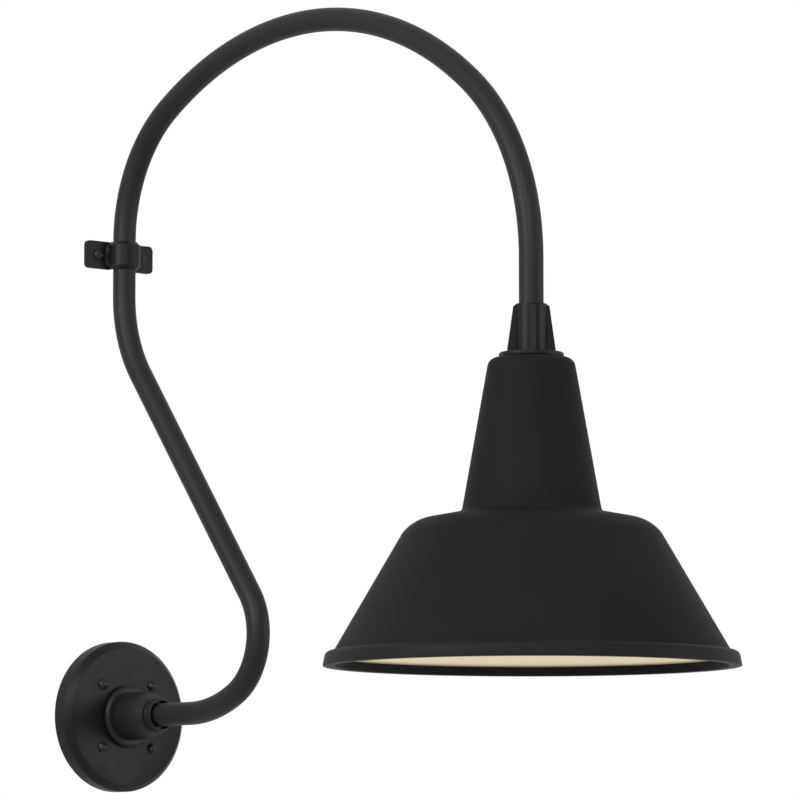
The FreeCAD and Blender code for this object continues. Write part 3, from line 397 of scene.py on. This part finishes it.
shade = ring_up([nipple_hole, neck_top, neck_foot, shoulder, shade_edge], axis_at, count=144)
roll_turn(shade, axis_at, neck_top, crown_round, square - neck_angle, steps=10)
roll_turn(shade, axis_at, neck_foot, neck_foot_round, dome_angle - neck_angle, steps=8)
roll_turn(shade, axis_at, shoulder, shoulder_round, dome_angle - cone_angle, steps=18)
face_outwards()
shade_coat = powder_coat("black_shade_coat", dark=0.0065, light=0.0090, sheen=0.05, roughness=0.62)
shade.data.materials.append(shade_coat)
shade.data.materials.append(enamel.material)
lining = add_wall(shade, sheet_thickness)
lining.material_offset = 1
lining.material_offset_rim = 0
finish_piece(shade, "spun_shade", shade_coat, ("shade",))


# Shade rim: a heavy ring under the cone, coated matt black; the shade's edge stands in its seat.
# It has a rolled shoulder and flares out towards its lower edge.
rim_bottom = 0.0254
rim_top = 0.0380
rim_bore = 0.1680
rim_shoulder_round = 0.0046
rim_edge_round = 0.0007
seat_radius = shade_edge[0] + 0.0003
seat_height = shade_edge[1]
rim_inner = (rim_bore, rim_bottom)
rim_foot = (0.1782, rim_bottom)
rim_shoulder = (0.1758, rim_top)
flare = math.atan2(rim_foot[0] - rim_shoulder[0], rim_shoulder[1] - rim_foot[1])
rim_rings = [
    rim_inner, rim_foot, rim_shoulder, (seat_radius - cone_slope * (rim_top - seat_height), rim_top),
    (seat_radius, seat_height), (rim_bore, seat_height), rim_inner,
]
rim = ring_up(rim_rings, axis_at, count=192)
face_outwards()
roll_turn(rim, axis_at, rim_shoulder, rim_shoulder_round, square - flare, steps=8)
roll_turn(rim, axis_at, rim_foot, rim_edge_round, square + flare, steps=3)
roll_turn(rim, axis_at, rim_inner, rim_edge_round, square, steps=3)
face_outwards()
rim_coat = powder_coat("black_rim_coat", dark=0.0065, light=0.0090, sheen=0.08, roughness=0.55)
finish_piece(rim, "rolled_rim", rim_coat, ("shade_rim",))


# Hanging parts: a threaded nipple joins the fitter, the shade and the bridge with a washer and two nuts.
# They are zinc-plated steel, like the two screws that hold the lampholder to the bridge.
for name in ("nipple", "nipple_nuts", "shade_washer", "holder_bridge", "holder_screws"):
    wear(name, zinc.material)

# Lampholder: glazed porcelain with a brass screw shell, hung under the bridge in the shade's neck.
# Brass terminals with their screws take the two wires to the shell and to the sprung centre contact.
porcelain = Finish("glazed_porcelain", IOR=1.5, Coat_Weight=0.6, Coat_Roughness=0.06)
glaze_cloud = porcelain.noise(30.0, detail=4.0)
porcelain.set("Base Color", porcelain.blend(glaze_cloud, (0.80, 0.79, 0.75, 1), (0.87, 0.86, 0.83, 1)))
porcelain.set("Roughness", porcelain.spread(porcelain.noise(90.0), 0.16, 0.26))
porcelain.bump(porcelain.noise(160.0), strength=0.1, distance=0.0003)
wear("lampholder", porcelain.material)

brass = Finish("plain_brass", Metallic=1.0)
brass_cloud = brass.noise(120.0, detail=4.0)
brass.set("Base Color", brass.blend(brass_cloud, (0.66, 0.47, 0.19, 1), (0.80, 0.60, 0.28, 1)))
brass.set("Roughness", brass.spread(brass.noise(300.0, detail=3.0), 0.24, 0.40))
brass.bump(brass.noise(900.0), strength=0.1, distance=0.0002)
for name in ("centre_contact", "shell_terminal", "contact_terminal", "terminal_screws", "screw_shell"):
    wear(name, brass.material)

# Contact spring: a small coil of bright steel wire between the contact and its terminal plate.
# It gets a mesh of its own; the real coil shortens by the contact's stroke, towards the plate that holds its
# upper end.
spring_wire = Finish("spring_wire", Metallic=1.0)
wire_cloud = spring_wire.noise(400.0)
spring_wire.set("Base Color", spring_wire.blend(wire_cloud, (0.42, 0.42, 0.44, 1), (0.56, 0.56, 0.58, 1)))
spring_wire.set("Roughness", spring_wire.spread(spring_wire.noise(500.0), 0.25, 0.4))
spring_wire.bump(spring_wire.noise(900.0), strength=0.08, distance=0.0001)
wear("contact_spring", spring_wire.material)
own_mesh(nodes["contact_spring"])


# Floor and surroundings: a wide pale floor well below the light, and white all round it.
# The camera sees the floor brighter than it is lit, so that it runs into the white behind it.
floor_size = 60.0
floor_level = -3.4
floor_glow = 0.6
floor_finish = Finish("pale_floor", Roughness=0.9)
floor_cloud = floor_finish.noise(3.0)
floor_finish.set("Base Color", floor_finish.blend(floor_cloud, (0.86, 0.86, 0.86, 1), (0.9, 0.9, 0.9, 1)))
seen_directly = floor_finish.node("ShaderNodeLightPath", output="Is Camera Ray")
white = floor_finish.node("ShaderNodeEmission", None, {"Color": (1.0, 1.0, 1.0, 1.0), "Strength": 1.0})
plain = Socket(floor_finish, floor_finish.shader.outputs[0])
pale = floor_finish.node("ShaderNodeMixShader", None, {0: seen_directly * floor_glow, 1: plain, 2: white})
floor_finish.feed(floor_finish.tree.nodes["Material Output"].inputs["Surface"], pale)
bpy.ops.mesh.primitive_plane_add(size=floor_size, location=(0.0, 0.0, floor_level))
floor = bpy.context.object
floor.name = "floor"
floor.data.materials.append(floor_finish.material)

light_on_matt = 0.95
light_seen = 1.0
world = bpy.data.worlds.new("white_surroundings")
bpy.context.scene.world = world
world.use_nodes = True
tree = world.node_tree
tree.nodes.clear()
path = tree.nodes.new("ShaderNodeLightPath")
seen = tree.nodes.new("ShaderNodeMath")
seen.operation = "MAXIMUM"
tree.links.new(path.outputs["Is Camera Ray"], seen.inputs[0])
tree.links.new(path.outputs["Is Glossy Ray"], seen.inputs[1])
through = tree.nodes.new("ShaderNodeMath")
through.operation = "MAXIMUM"
tree.links.new(seen.outputs[0], through.inputs[0])
tree.links.new(path.outputs["Is Transmission Ray"], through.inputs[1])
strength = tree.nodes.new("ShaderNodeMapRange")
strength.inputs["To Min"].default_value = light_on_matt
strength.inputs["To Max"].default_value = light_seen
tree.links.new(through.outputs[0], strength.inputs["Value"])
sky = tree.nodes.new("ShaderNodeBackground")
sky.inputs["Color"].default_value = (1.0, 1.0, 1.0, 1.0)
tree.links.new(strength.outputs[0], sky.inputs["Strength"])
out = tree.nodes.new("ShaderNodeOutputWorld")
tree.links.new(sky.outputs[0], out.inputs["Surface"])


# Lamps and camera: three soft lamps, one to the left, one in front and a low one to the right.
# A long lens stands a little below the shade and looks up at the light from the room.
def soft_lamp(name, place, power):
    lamp = bpy.data.lights.new(name, "AREA")
    lamp.shape = "SQUARE"
    lamp.size = 1.0
    lamp.energy = power
    holder = bpy.data.objects.new(name, lamp)
    bpy.context.scene.collection.objects.link(holder)
    holder.location = place
    middle = Vector((0.3, 0.0, 0.3))
    holder.rotation_euler = (middle - Vector(place)).to_track_quat("-Z", "Y").to_euler()


soft_lamp("key_lamp", (0.4, -2.9, 1.3), power=75.0)
soft_lamp("front_lamp", (2.32, -2.02, 1.75), power=45.0)
soft_lamp("fill_lamp", (2.8, 1.8, 0.25), power=26.0)

camera_data = bpy.data.cameras.new("camera")
camera = bpy.data.objects.new("camera", camera_data)
bpy.context.scene.collection.objects.link(camera)
camera_data.sensor_width = 36.0
camera_data.lens = 225.0
camera.location = (3.701, -2.878, -0.191)
forward = Vector((-0.7495, 0.6546, 0.104))
camera.rotation_euler = forward.to_track_quat("-Z", "Y").to_euler()
camera_data.clip_end = 60.0
bpy.context.scene.camera = camera
bpy.context.scene.view_settings.view_transform = "Standard"
